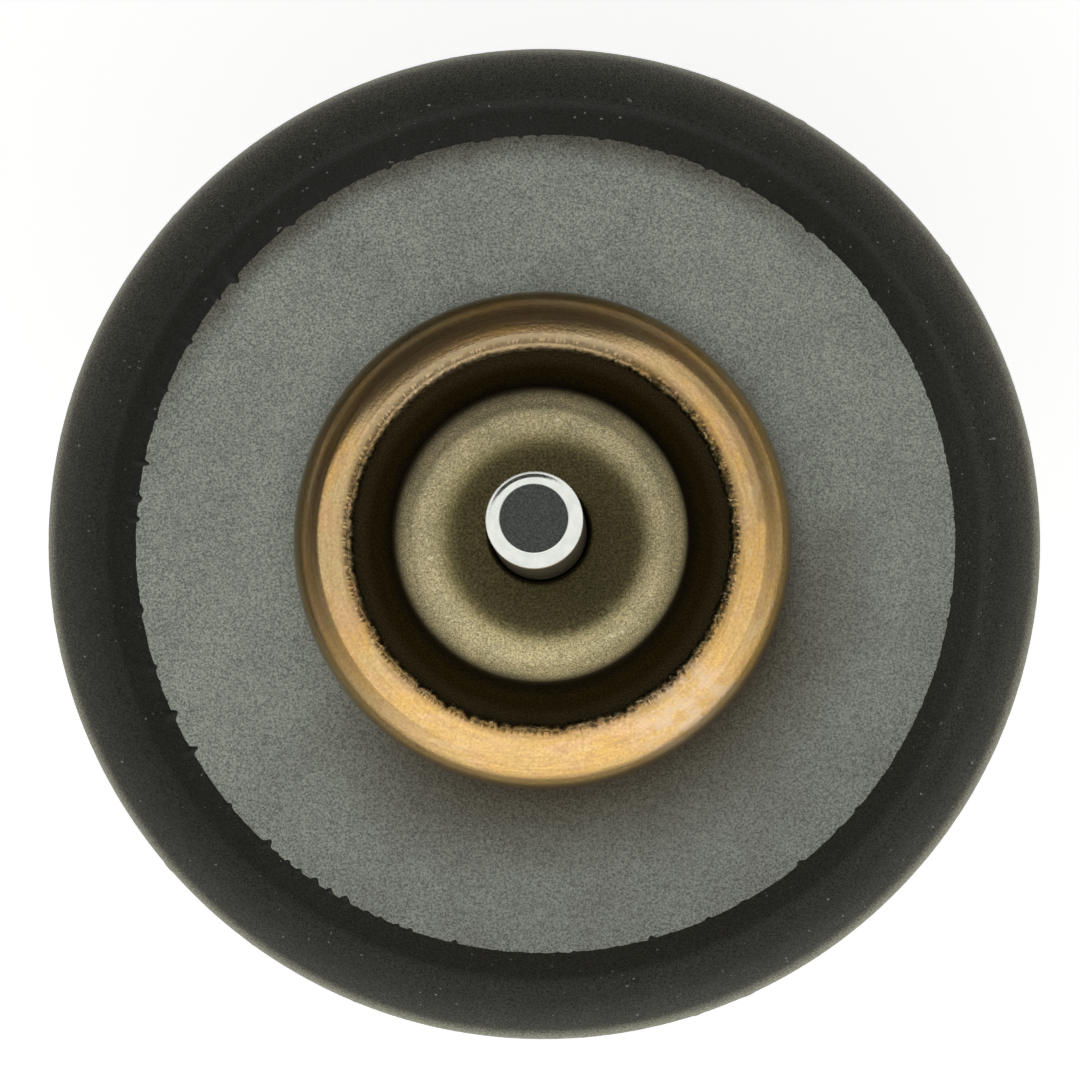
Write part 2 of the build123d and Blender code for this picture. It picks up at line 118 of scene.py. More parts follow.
def rounded(*corners, facet=12.0):
    """Points of a closed half section from (radius, height, rounding) corners."""
    points = []
    for i, (radius, height, rounding) in enumerate(corners):
        here = Vector((radius, height))
        if not rounding:
            points.append((radius, height))
            continue
        back = Vector(corners[i - 1][:2]) - here
        on = Vector(corners[(i + 1) % len(corners)][:2]) - here
        half = back.angle(on) / 2
        cut = rounding / tan(half)
        inward = (back.normalized() + on.normalized()).normalized()
        centre = here + inward * rounding / sin(half)
        start = here + back.normalized() * cut - centre
        turn = pi - 2 * half
        side = 1 if back.cross(on) < 0 else -1
        steps = max(3, ceil(turn / radians(facet)))
        flat = min(0.2 * rounding, EDGE_FLAT)
        if back.length > cut + 2 * flat:
            points.append(tuple(here + back.normalized() * (cut + flat)))
        for k in range(steps + 1):
            swing = Matrix.Rotation(side * turn * k / steps, 2)
            points.append(tuple(centre + swing @ start))
        if on.length > cut + 2 * flat:
            points.append(tuple(here + on.normalized() * (cut + flat)))
    return points


def bend(centre, radius, start, end, steps):
    """Points along a bend, whose surface tilts from start to end degrees off level."""
    tilts = [radians(start + (end - start) * k / steps) for k in range(steps + 1)]
    return [(centre[0] + radius * sin(t), centre[1] + radius * cos(t)) for t in tilts]


def bend_from(radius, height, width, tilts):
    """Centre and radius of a bend that starts at a point and is width wide, seen from above."""
    start, end = radians(tilts[0]), radians(tilts[1])
    curve = width / (sin(end) - sin(start))
    return (radius - curve * sin(start), height - curve * cos(start)), curve


def turned(name, section, steps=360, worn=None, spare=1):
    """Mesh of a half section turned about the pin's axis; worn(radius, height, angle) moves it.

    Rings that worn leaves alone get spare times fewer points.
    """
    points, rings = [], []
    for radius, height in section:
        count = steps if radius > 1e-7 else 1
        spots = []
        for k in range(count):
            angle = 2 * pi * k / steps
            r, z = worn(radius, height, angle) if worn else (radius, height)
            spots.append((r, z, angle))
        if count > 1 and all(spot[:2] == (radius, height) for spot in spots):
            spots = spots[::spare]
        rings.append([len(points) + k for k in range(len(spots))])
        points += [(r * cos(angle), r * sin(angle), z) for r, z, angle in spots]
    faces = []
    for low, high in zip(rings, rings[1:] + rings[:1]):
        cells = min([len(ring) for ring in (low, high) if len(ring) > 1], default=0)
        for k in range(cells):
            faces.append(tuple(cell_edge(low, k, cells) + cell_edge(high, k, cells)[::-1]))
    return built(name, points, faces)


def cell_edge(ring, k, cells):
    """Points of one ring along its cell k of cells; a ring that is one point gives that point."""
    every = max(len(ring) // cells, 1)
    count = every + 1 if len(ring) > 1 else 1
    return [ring[(k * every + i) % len(ring)] for i in range(count)]


def built(name, points, faces):
    """Smooth mesh from points and faces, with its faces turned outwards."""
    mesh = bpy.data.meshes.new(name)
    mesh.from_pydata(points, [], faces)
    work = bmesh.new()
    work.from_mesh(mesh)
    bmesh.ops.recalc_face_normals(work, faces=work.faces)
    work.to_mesh(mesh)
    work.free()
    mesh.shade_smooth()
    return mesh


def fitted(mesh, body, finish, node):
    """Puts a mesh on its body in place of the CAD node, with its finish."""
    part = bpy.data.objects.new(mesh.name, mesh)
    bpy.context.scene.collection.objects.link(part)
    mesh.materials.append(finish)
    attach(part, body)
    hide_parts(node)
    return part


def add(tree, kind, sockets=None, **settings):
    """Adds a shader node; a socket takes a value or another node's output."""
    made = tree.nodes.new("ShaderNode" + kind)
    for key, value in settings.items():
        setattr(made, key, value)
    for key, value in (sockets or {}).items():
        if isinstance(value, bpy.types.NodeSocket):
            tree.links.new(value, made.inputs[key])
        else:
            made.inputs[key].default_value = value
    return made


def new_finish(name):
    """An empty surface finish and its node tree."""
    finish = bpy.data.materials.new(name)
    finish.use_nodes = True
    finish.node_tree.nodes.clear()
    return finish, finish.node_tree


def begun(name):
    """An empty surface finish, its node tree and where a point lies on the part."""
    finish, tree = new_finish(name)
    return finish, tree, add(tree, "TexCoord").outputs["Object"]


def finished(finish, shader):
    """Ends a finish with its shader."""
    add(finish.node_tree, "OutputMaterial", {"Surface": shader.outputs[0]})
    return finish


def surfaced(finish, colour, rough, relief, metal=0.0, **more):
    """Ends a finish with one surface; more names its other sockets, with _ for each space."""
    sockets = {"Base Color": colour, "Roughness": rough, "Normal": relief, "Metallic": metal}
    sockets.update({key.replace("_", " "): value for key, value in more.items()})
    return finished(finish, add(finish.node_tree, "BsdfPrincipled", sockets))


def arithmetic(tree, operation, first, second=0.0):
    """One sum on two numbers."""
    return add(tree, "Math", {0: first, 1: second}, operation=operation).outputs[0]


def times(tree, value, *others):
    """Numbers multiplied together."""
    for other in others:
        value = arithmetic(tree, "MULTIPLY", value, other)
    return value


def plus(tree, value, *others):
    """Numbers added together."""
    for other in others:
        value = arithmetic(tree, "ADD", value, other)
    return value


def minus(tree, value, other):
    """One number less another."""
    return arithmetic(tree, "SUBTRACT", value, other)


def between(tree, value, low, high, to_low=0.0, to_high=1.0):
    """Spreads the range low to high of a value over to_low to to_high."""
    spread = {"From Min": low, "From Max": high, "To Min": to_low, "To Max": to_high}
    made = add(tree, "MapRange", {"Value": value, **spread}, interpolation_type="SMOOTHSTEP")
    return made.outputs["Result"]


def band(tree, value, origin, low, high, *ends):
    """Spreads a band low to high millimetres past an origin, as between does."""
    return between(tree, value, origin + low * MM, origin + high * MM, *ends)


def grain(tree, where, size, detail=3.0, rough=0.55):
    """Noise whose features are about size across, from 0 to 1."""
    sockets = {"Vector": where, "Scale": 1 / size, "Detail": detail, "Roughness": rough}
    return add(tree, "TexNoise", sockets).outputs["Fac"]


def level(tree, where):
    """Height of a point."""
    return add(tree, "SeparateXYZ", {"Vector": where}).outputs["Z"]


def flattened(tree, where):
    """A point's place seen from above."""
    return add(tree, "VectorMath", {0: where, 1: (1, 1, 0)}, operation="MULTIPLY").outputs["Vector"]


def off_axis(tree, where):
    """Distance of a point from the pin's axis."""
    flat = flattened(tree, where)
    return add(tree, "VectorMath", {0: flat}, operation="LENGTH").outputs["Value"]


def along(tree, first, second):
    """How far one direction goes along another."""
    made = add(tree, "VectorMath", {0: first, 1: second}, operation="DOT_PRODUCT")
    return made.outputs["Value"]


def towards(tree, where, azimuth):
    """How squarely a point lies on one side of the axis: 1 on that side, -1 opposite."""
    flat = add(tree, "VectorMath", {0: flattened(tree, where)}, operation="NORMALIZE")
    side = (cos(radians(azimuth)), sin(radians(azimuth)), 0)
    return along(tree, flat.outputs["Vector"], side)


def on_side(tree, where, azimuth, *spread):
    """Share that changes towards one side of the axis, as between does."""
    return between(tree, towards(tree, where, azimuth), *spread)


def turning_marks(tree, where, pitch, wander):
    """Fine rings round the axis, as a tool or roller leaves; they fade in and out over wander."""
    up = level(tree, where)
    across = times(tree, minus(tree, off_axis(tree, where), up), 1 / pitch)
    wide = (1 / wander, 1 / wander, 0)
    around = add(tree, "VectorMath", {0: where, 1: wide}, operation="MULTIPLY").outputs["Vector"]
    shift = add(tree, "CombineXYZ", {"Z": across}).outputs[0]
    spot = add(tree, "VectorMath", {0: around, 1: shift}, operation="ADD").outputs["Vector"]
    return add(tree, "TexNoise", {"Vector": spot, "Scale": 1.0, "Detail": 2.0}).outputs["Fac"]


def streaked(tree, where, pitch, wander, *spread):
    """Patches that a tool draws out round the axis, spread as between does."""
    return between(tree, turning_marks(tree, where, pitch, wander), *spread)


def painted(value):
    """A colour made opaque, or an output as it is."""
    return value if isinstance(value, bpy.types.NodeSocket) else (*value, 1.0)


def tinted(tree, share, first, second):
    """Colour between two colours or outputs."""
    sockets = {0: share, 6: painted(first), 7: painted(second)}
    return add(tree, "Mix", sockets, data_type="RGBA").outputs[2]


def coated(tree, colour, *coats):
    """Colour under (share, colour) coats, laid on in turn."""
    for share, coat in coats:
        colour = tinted(tree, share, colour, coat)
    return colour


def bumped(tree, height, depth):
    """Surface relief, depth being in metres."""
    sockets = {"Height": height, "Strength": 1.0, "Distance": depth}
    return add(tree, "Bump", sockets).outputs["Normal"]


def torn_lip(radius, height, angle):
    """Moves the lip's cut edge in and out and raises burrs, as the roller tears it."""
    near = 1 - min(max((radius - LIP_R) / TEAR_REACH, 0), 1)
    if height < plate_z + LIP_T or near == 0:
        return radius, height
    around = Vector((cos(angle), sin(angle), 0))
    near_side = 0.75 - 0.5 * sin(angle)
    waves = noise.noise(around * TEAR_WAVES)
    teeth = max(0, noise.noise(around * TEAR_TEETH + Vector((7, 0, 3))) - 0.05)
    layer = Vector((radius / MM * 9, height / MM * 9, 9))
    crumbs = noise.noise(around * TEAR_CRUMBS + layer)
    pull = TEAR * near_side * (0.6 * waves + 2.2 * teeth + 0.35 * crumbs) * near
    layer = Vector((3, 8, radius / MM * 5))
    burr = max(0, noise.noise(around * TEAR_BURRS + layer) - 0.15)
    return radius + pull, height + TEAR * (0.22 * crumbs + 0.9 * burr) * near ** 1.5


def copper_finish():
    """Burnished copper alloy, warm where the oxide is thin, with pale and dusky patches."""
    finish, tree, where = begun("rolled_copper")
    reach = off_axis(tree, where)
    marks = turning_marks(tree, where, 0.16 * MM, 2.2 * MM)
    fine = grain(tree, where, 0.12 * MM)
    pale = streaked(tree, where, 1.5 * MM, 3.0 * MM, 0.36, 0.60)
    pale = times(tree, pale, on_side(tree, where, PALE_SIDE, -0.9, 0.9, 0.35, 1.0))
    colour = coated(
        tree, WARM_COPPER, (pale, PALE_COPPER),
        (streaked(tree, where, 1.0 * MM, 1.7 * MM, 0.52, 0.66, 0.0, 0.75), PINK_COPPER),
        (streaked(tree, where, 0.9 * MM, 1.4 * MM, 0.42, 0.30, 0.0, 0.55), BARE_COPPER),
        (streaked(tree, where, 0.45 * MM, 0.9 * MM, 0.50, 0.70, 0.0, 0.6), BLUSHED_COPPER),
        (between(tree, marks, 0.45, 0.75, 0.0, 0.35), SCORED_COPPER),
        (between(tree, fine, 0.48, 0.68, 0.0, 0.5), SCORED_COPPER),
        (between(tree, fine, 0.46, 0.30, 0.0, 0.5), BRIGHT_COPPER),
    )

    rolled = band(tree, reach, LAND_R, -0.01, 0.07)
    darkening = on_side(tree, where, TARNISH_SIDE, -0.6, 1.0, 0.0, 0.74)
    streaks = streaked(tree, where, 0.4 * MM, 4.0 * MM, 0.35, 0.65, 0.8, 1.0)
    far_side = on_side(tree, where, FAR_LIP_SIDE, 0.62, 0.94)
    on_lip = band(tree, level(tree, where), lip_z, -1.0, -0.8)
    # Painted highlight: a near-white band on the lip's land, on the far side only.
    painted_highlight = times(tree, on_lip, band(tree, reach, LIP_R, 0.62, 0.82, 0.75, 0.0))
    dusky = band(tree, reach, LIP_R, 0.84, 1.12, 0.0, 0.62)
    far_land = times(tree, far_side, band(tree, reach, LAND_R, 0.0, 0.2, 1.0, 0.3))
    smear = on_side(tree, where, SMEAR_SIDE, 0.962, 0.995, 0.0, 0.65)
    smudge = between(tree, grain(tree, where, 0.7 * MM), 0.36, 0.56)
    uneven = between(tree, grain(tree, where, 0.4 * MM), 0.0, 1.0, -0.5, 0.5)
    uneven = plus(tree, reach, times(tree, uneven, 0.25 * MM))
    lap = times(
        tree, on_side(tree, where, LAP_START, -0.02, 0.035),
        on_side(tree, where, LAP_SIDE, 0.60, 0.97, 0.0, 0.45),
        band(tree, reach, LAND_R, -0.02, 0.10, 1.0, 0.2), band(tree, uneven, LAND_R, -0.42, -0.22),
    )
    colour = coated(
        tree, colour, (times(tree, darkening, streaks, rolled), BROWN_TARNISH),
        (times(tree, painted_highlight, far_side), HIGHLIGHT_COPPER),
        (times(tree, dusky, far_land), DUSKY_TARNISH), (times(tree, smear, smudge), PALE_SMEAR),
        # Painted shade darkens the roll's outer foot, where it meets the plate.
        (lap, LAP_TARNISH), (band(tree, reach, crimp_r, -0.30, -0.05, 0.0, 0.75), ROLL_FOOT_SHADE),
    )

    crumbs = grain(tree, where, 0.28 * MM, 3.0, 0.65)
    sides = arithmetic(tree, "ABSOLUTE", towards(tree, where, WORN_SIDE))
    ragged = plus(tree, reach, times(tree, crumbs, 0.9 * MM))
    ragged = minus(tree, ragged, times(tree, sides, 0.11 * MM))
    ragged = minus(tree, ragged, times(tree, towards(tree, where, TORN_SIDE), 0.06 * MM))
    ragged = plus(tree, ragged, times(tree, far_side, 0.13 * MM))
    # Painted shade: two dark bands along the lip's torn inner edge, where it drops into the groove.
    edge_shade_band = times(tree, on_lip, band(tree, ragged, LIP_R, 0.48, 0.72, 1.0, 0.0))
    shaded = times(tree, on_lip, band(tree, ragged, LIP_R, 0.34, 0.66, 1.0, 0.0))
    # Painted glints: bright specks on the torn edge.
    spark = between(tree, grain(tree, where, 0.17 * MM, 1.0), 0.60, 0.72, 0.0, 0.8)
    colour = coated(
        tree, colour, (times(tree, edge_shade_band, 0.8), EDGE_SHADE_BROWN), (shaded, SHADED_EDGE),
        (times(tree, spark, edge_shade_band), EDGE_SPARK),
    )

    torn = times(tree, on_lip, band(tree, reach, LIP_R, 0.40, 0.72, 1.0, 0.0))
    rough = between(tree, marks, 0.3, 0.8, 0.12, 0.20)
    rough = plus(tree, rough, times(tree, rolled, 0.14), times(tree, torn, 0.40))
    relief = bumped(tree, plus(tree, times(tree, marks, 0.5), fine), 0.0035 * MM)
    return surfaced(finish, colour, rough, relief, 1.0)


centre, curve = bend_from(LIP_R, lip_z, LAND_R - LIP_R, LAND_TILTS)
land = bend(centre, curve, LAND_TILTS[1], LAND_TILTS[0], 6)
centre, curve = bend_from(LAND_R, land[0][1], ROLL_WIDTH, ROLL_TILTS)
shoulder = bend(centre, curve, ROLL_TILTS[1], ROLL_TILTS[0], 8)
side_radius = (crimp_r - LAND_R - ROLL_WIDTH) / (1 - sin(radians(ROLL_TILTS[1])))
roll_z = shoulder[0][1] - side_radius * cos(radians(ROLL_TILTS[1]))
roll = bend((crimp_r - side_radius, roll_z), side_radius, 90.0, ROLL_TILTS[1], 10) + shoulder[1:]
lip_foot_z = lip_z - LIP_T
flange_rim_z = lip_foot_z - FLANGE_DROP
lip = rounded((*land[-2], 0), (LIP_R, lip_z, LIP_EDGE), (LIP_R, lip_foot_z, 0), facet=10.0)[1:]
cup_wall_r = CUP_R - CUP_WALL
shelf_z = plate_z + CUP_SHELF
ring_cut_r = CUP_R - RING_GROOVE
clip_cut_r = STEM_R - CLIP_GROOVE
cup_section = rounded(
    (0, cup_low.z, 0), (STEM_R - STEM_EDGE, cup_low.z, CUT_EDGE),
    (STEM_R, cup_low.z + STEM_EDGE, CUT_EDGE),
    (STEM_R, clip_low.z, CUT_EDGE), (clip_cut_r, clip_low.z, CUT_EDGE),
    (clip_cut_r, clip_high.z + GROOVE_GAP, CUT_EDGE), (STEM_R, clip_high.z + GROOVE_GAP, CUT_EDGE),
    (STEM_R, foot_z, 2 * CUT_EDGE), (CUP_R, foot_z, CUP_CORNER),
    (CUP_R, ring_low.z, CUT_EDGE), (ring_cut_r, ring_low.z, CUT_EDGE),
    (ring_cut_r, ring_high.z + GROOVE_GAP, CUT_EDGE), (CUP_R, ring_high.z + GROOVE_GAP, CUT_EDGE),
    (CUP_R, plate_z, 0), (crimp_r, plate_z, 2 * CUT_EDGE), (crimp_r, roll_z, 0),
) + roll[1:] + land[1:-1] + lip + [
    (crimp_r - CRIMP_WALL, flange_rim_z), (crimp_r - CRIMP_WALL, shelf_z),
    (cup_wall_r, shelf_z), (cup_wall_r, foot_z + CUP_BASE), (0, foot_z + CUP_BASE),
]
cup_mesh = turned("wax_cup_rolled", cup_section, CUP_POINTS, torn_lip, 3)
fitted(cup_mesh, "element", copper_finish(), "wax_cup")


# Rubber boot: a closed sleeve moulded from soft rubber, held by its flange under the guide. The
# wax squeezes it round the pin's taper and so drives the pin out.
def moulded_finish(name, colour, dusty, rough, size):
    """A moulded or cast material with a slightly uneven tone and surface."""
    finish, tree, where = begun(name)
    cloud = between(tree, grain(tree, where, size), 0.35, 0.7)
    fine = grain(tree, where, 0.12 * MM)
    tone = tinted(tree, cloud, colour, dusty)
    gloss = between(tree, fine, 0.3, 0.7, rough - 0.08, rough + 0.08)
    return surfaced(finish, tone, gloss, bumped(tree, fine, 0.01 * MM))


def carried(node, finish):
    """Gives a CAD node its finish."""
    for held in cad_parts[node].material_slots:
        held.link = "OBJECT"
        held.material = finish


BOOT_BLACK = (0.03, 0.03, 0.03)
BOOT_DUST = (0.05, 0.05, 0.045)
soft_rubber = moulded_finish("boot_rubber", BOOT_BLACK, BOOT_DUST, 0.6, 1.5 * MM)
carried("rubber_boot", soft_rubber)


# Backup washer: turned from slippery white plastic, loose round the pin between the boot and the
# guide, where it keeps the boot from creeping up the bore.
WHITE_PLASTIC = (0.75, 0.73, 0.68)
DULL_PLASTIC = (0.62, 0.60, 0.54)
plastic = moulded_finish("backup_plastic", WHITE_PLASTIC, DULL_PLASTIC, 0.4, 2.0 * MM)
carried("backup_washer", plastic)


# Wax: cast with copper powder in it, which brings the heat in. It fills the cup round the boot
# and swells as it melts.
WAX_AMBER = (0.55, 0.36, 0.16)
WAX_BROWN = (0.45, 0.28, 0.12)
wax = moulded_finish("wax", WAX_AMBER, WAX_BROWN, 0.35, 2.5 * MM)
carried("wax_pellet", wax)


# Guide: turned from brass bar and tumbled, so that its shoulder is satin and lightly speckled.
# Its flange lies under the cup's rolled lip, and the neck carries the pin in a close bore.
guide_low, guide_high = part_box("piston_guide")
flange_r = guide_high.x
NECK_R = 5.88 * MM
NECK_ROUND = 1.5 * MM
NECK_FOOT = 0.7 * MM
DOME_R = 3.80 * MM
DOME_ROUND = 4.5 * MM
DOME_SLOPE = 16.0
BORE_R = 1.905 * MM
BORE_EDGE = 0.18 * MM
FLAT_SHIFT = 0.14 * MM
FLAT_SHIFT_REACH = 1.2 * MM
FLAT_SIDE = -65.0
DULL_SIDE = -70.0
GROOVE_SHADE_SIDE = 130.0
OLIVE_BRASS = (0.475, 0.40, 0.225)
DEEP_BRASS = (0.38, 0.335, 0.19)
BRIGHT_PITS = (0.62, 0.56, 0.36)
BROWN_SPOTS = (0.24, 0.19, 0.10)
FLAT_DARK_REFLECTION = (0.25, 0.205, 0.065)
DULL_BRASS = (0.27, 0.23, 0.115)
NECK_FOOT_SHADE = (0.026, 0.019, 0.008)
FLANGE_SHADE = (0.055, 0.037, 0.010)
LIP_SIDE_SHADE = (0.155, 0.118, 0.056)
BORE_SHADOW = (0.03, 0.024, 0.010)


def off_centre(radius, height, angle):
    """Sets the flat on top of the guide a little off the axis."""
    near = max(0, 1 - abs(radius - DOME_R) / FLAT_SHIFT_REACH)
    return radius + FLAT_SHIFT * near * cos(angle - radians(FLAT_SIDE)), height


def speckled(tree, colour, strength):
    """Colour made stronger or weaker from point to point."""
    sockets = {0: colour, "Scale": strength}
    return add(tree, "VectorMath", sockets, operation="SCALE").outputs["Vector"]


def brass_finish():
    """Tumbled brass, dull olive with small bright pits."""
    finish, tree, where = begun("tumbled_brass")
    up = level(tree, where)
    reach = off_axis(tree, where)
    fine = grain(tree, where, 0.10 * MM)
    lean = minus(tree, reach, times(tree, towards(tree, where, FLAT_SIDE), 0.30 * MM))
    # Painted shade: the neck's lower rounding and the groove round it darken, darkest at the neck's
    # foot.
    shade_height = minus(tree, up, times(tree, towards(tree, where, GROOVE_SHADE_SIDE), 0.22 * MM))
    groove_shade = band(tree, shade_height, guide_high.z, -1.45, -0.50, 1.0, 0.0)
    rim = between(tree, reach, NECK_R + 0.8 * MM, LIP_R + 0.1 * MM)
    groove_shade_colour = tinted(tree, rim, FLANGE_SHADE, LIP_SIDE_SHADE)
    groove_shade_colour = tinted(tree, band(tree, reach, NECK_R, 0.1, 0.7), NECK_FOOT_SHADE, groove_shade_colour)
    colour = coated(
        tree, OLIVE_BRASS,
        (between(tree, grain(tree, where, 1.6 * MM, 4.0), 0.35, 0.68), DEEP_BRASS),
        (between(tree, grain(tree, where, 0.16 * MM, 2.0), 0.56, 0.72, 0.0, 0.8), BRIGHT_PITS),
        (between(tree, grain(tree, where, 0.5 * MM), 0.62, 0.75, 0.0, 0.6), BROWN_SPOTS),
        # Painted dark reflection on the flat top, set a little off centre.
        (band(tree, lean, DOME_R, -0.25, 0.85, 0.65, 0.0), FLAT_DARK_REFLECTION),
        (on_side(tree, where, DULL_SIDE, -0.3, 0.9, 0.0, 0.30), DULL_BRASS),
        # Painted shadow in a ring round the pin's bore.
        (groove_shade, groove_shade_colour), (band(tree, reach, BORE_R, 0.05, 0.30, 1.0, 0.0), BORE_SHADOW),
    )
    strength = between(tree, grain(tree, where, 0.07 * MM, 2.5, 0.6), 0.30, 0.70, 0.55, 1.45)
    colour = speckled(tree, colour, strength)
    marks = turning_marks(tree, where, 0.12 * MM, 4.0 * MM)
    relief = bumped(tree, plus(tree, fine, times(tree, marks, 0.6)), 0.003 * MM)
    rough = between(tree, fine, 0.3, 0.7, 0.22, 0.31)
    matt = band(tree, up, guide_high.z, -0.62, -0.20, 0.42, 0.0)
    rough = plus(tree, rough, times(tree, groove_shade, 0.2), matt)
    return surfaced(finish, colour, rough, relief, 1.0)


dome_drop = (NECK_R - DOME_R) * tan(radians(DOME_SLOPE))
guide_section = rounded(
    (BORE_R, guide_low.z, 0), (flange_r, guide_low.z, 0), (flange_r, flange_rim_z, 0),
    (LIP_R, lip_foot_z, 0), (NECK_R, lip_foot_z, NECK_FOOT),
    (NECK_R, guide_high.z - dome_drop, NECK_ROUND),
    (DOME_R, guide_high.z, DOME_ROUND), (BORE_R, guide_high.z, BORE_EDGE), facet=4.0,
)
guide_mesh = turned("guide_turned", guide_section, worn=off_centre)
fitted(guide_mesh, "element", brass_finish(), "piston_guide")


# Pin: hardened stainless steel, ground round and polished. Its tip has a bright chamfer and a
# finely ground flat, and its lower end tapers inside the boot.
pin_low, pin_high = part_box("piston_pin")
pin_r = pin_high.x
TIP_CHAMFER = 0.55 * MM
CHAMFER_TILTS = (51.0, 62.3)
TIP_EDGE = 0.04 * MM
HOLLOW = 0.085 * MM
HOLLOW_R = 1.58 * MM
HOLLOW_WIDTH = 0.175 * MM
HOLLOW_SIDE = 108.0
NOSE_R = 1.2 * MM
TAPER = 6.0 * MM
TIP_ZONE = 2.0 * MM
PIN_POINTS = 240
GRINDING_PITCH = 0.06 * MM
BRIGHT_STEEL = (0.73, 0.745, 0.695)
CLOUDY_STEEL = (0.65, 0.67, 0.625)
GROUND_LIGHT = (0.68, 0.735, 0.685)
GROUND_DARK = (0.42, 0.455, 0.42)
THICK_OIL_REFLECTION = (0.062, 0.052, 0.032)
THIN_OIL_REFLECTION = (0.135, 0.118, 0.078)
CLEAR_SHEEN = (1.0, 1.0, 1.0)
OIL_REFLECTION_TINT = (0.17, 0.15, 0.11)


def worn_tip(radius, height, angle):
    """Lowers the chamfer's outer part a little on the side that was ground last."""
    if radius < HOLLOW_R or height < pin_high.z - TIP_ZONE:
        return radius, height
    side = max(0, cos(angle - radians(HOLLOW_SIDE)))
    return radius, height - HOLLOW * side ** 1.5 * min((radius - HOLLOW_R) / HOLLOW_WIDTH, 1)


def pin_finish():
    """Bright steel on the chamfer, satin on the ground end, and oil with a painted dark reflection
    on the round.
    """
    finish, tree, where = begun("ground_pin_steel")
    up = level(tree, where)
    end_face = between(tree, level(tree, add(tree, "NewGeometry").outputs["Normal"]), 0.90, 0.985)
    fine = grain(tree, where, 0.09 * MM, 4.0)
    # Oil film and painted dark reflection: the round darkens, most towards the guide.
    oil_and_reflection = between(tree, up, guide_high.z + 0.2 * MM, pin_high.z - 1.2 * MM, 0.97, 0.85)
    oil_and_reflection = times(tree, oil_and_reflection, band(tree, up, pin_high.z, -1.1, -0.95, 1.0, 0.0))
    patchy = between(tree, grain(tree, where, 0.07 * MM, 2.5, 0.6), 0.36, 0.64)
    ground = between(tree, grain(tree, where, 0.055 * MM, 2.0), 0.42, 0.60)
    colour = coated(
        tree, BRIGHT_STEEL, (between(tree, grain(tree, where, 0.5 * MM), 0.35, 0.7), CLOUDY_STEEL),
        (oil_and_reflection, tinted(tree, patchy, THICK_OIL_REFLECTION, THIN_OIL_REFLECTION)),
        (end_face, GROUND_LIGHT), (times(tree, end_face, ground), GROUND_DARK),
    )
    rough = between(tree, fine, 0.3, 0.7, 0.08, 0.16)
    rough = plus(tree, rough, times(tree, end_face, 0.06), times(tree, oil_and_reflection, 0.3))
    lengthwise = add(tree, "CombineXYZ", {"Z": times(tree, up, 1 / GRINDING_PITCH)}).outputs[0]
    rings = add(tree, "TexNoise", {"Vector": lengthwise, "Scale": 1.0}).outputs["Fac"]
    relief = bumped(tree, plus(tree, fine, rings), 0.0004 * MM)
    sheen = tinted(tree, oil_and_reflection, CLEAR_SHEEN, OIL_REFLECTION_TINT)
    return surfaced(finish, colour, rough, relief, 1.0, Specular_Tint=sheen)


tip_r = pin_r - TIP_CHAMFER
centre, curve = bend_from(tip_r, pin_high.z, TIP_CHAMFER, CHAMFER_TILTS)
chamfer = bend(centre, curve, CHAMFER_TILTS[1], CHAMFER_TILTS[0], 20)
pin_section = rounded(
    (0, pin_low.z, 0), (NOSE_R, pin_low.z, 2 * TIP_EDGE), (pin_r, pin_low.z + TAPER, 0),
    (*chamfer[0], 0),
) + chamfer[1:-1] + rounded(
    (*chamfer[-2], 0), (tip_r, pin_high.z, TIP_EDGE), (0, pin_high.z, 0),
)[1:]
pin_mesh = turned("pin_ground", pin_section, PIN_POINTS, worn_tip)
fitted(pin_mesh, "piston", pin_finish(), "piston_pin")


# Valve plate: a disc pressed from steel strip, drawn down into a collar round the cup and bent
# down at the rim that the rubber grips. It is shot-blasted, so it is matt grey and finely pitted.
plate_low, plate_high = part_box("valve_plate")
seal_low, seal_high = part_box("valve_seal")
PLATE_T = 1.2 * MM
PLATE_BEND = 0.4 * MM
COLLAR_LEAD = 0.7 * MM
COLLAR_CORNER = 0.35 * MM
COLLAR_GAP = 0.1 * MM
FLAT_R = 17.0 * MM
RIM_BEND = 40.0
SEAL_WIDTH = 3.55 * MM
RUBBER_EDGE_SIDE = 105.0
HALO_SIDE = 293.0
DULL_PLATE_SIDE = 285.0
LIGHT_PLATE = (0.485, 0.52, 0.445)
DARK_PLATE = (0.42, 0.44, 0.38)
DULL_PLATE = (0.22, 0.22, 0.19)
BROWN_HALO = (0.125, 0.10, 0.065)
RUBBER_EDGE_SHADE = (0.13, 0.115, 0.085)
plate_under_z = plate_z - PLATE_T
collar_r = CUP_R + COLLAR_GAP
rim_r = plate_high.x
rim_z = plate_z - (rim_r - FLAT_R) * tan(radians(RIM_BEND))
rim_in_r = rim_r - PLATE_T * sin(radians(RIM_BEND))
rim_in_z = rim_z - PLATE_T * cos(radians(RIM_BEND))
flat_under_r = FLAT_R - PLATE_T * tan(radians(RIM_BEND) / 2)
seal_r = seal_high.x
seal_in_r = seal_r - SEAL_WIDTH


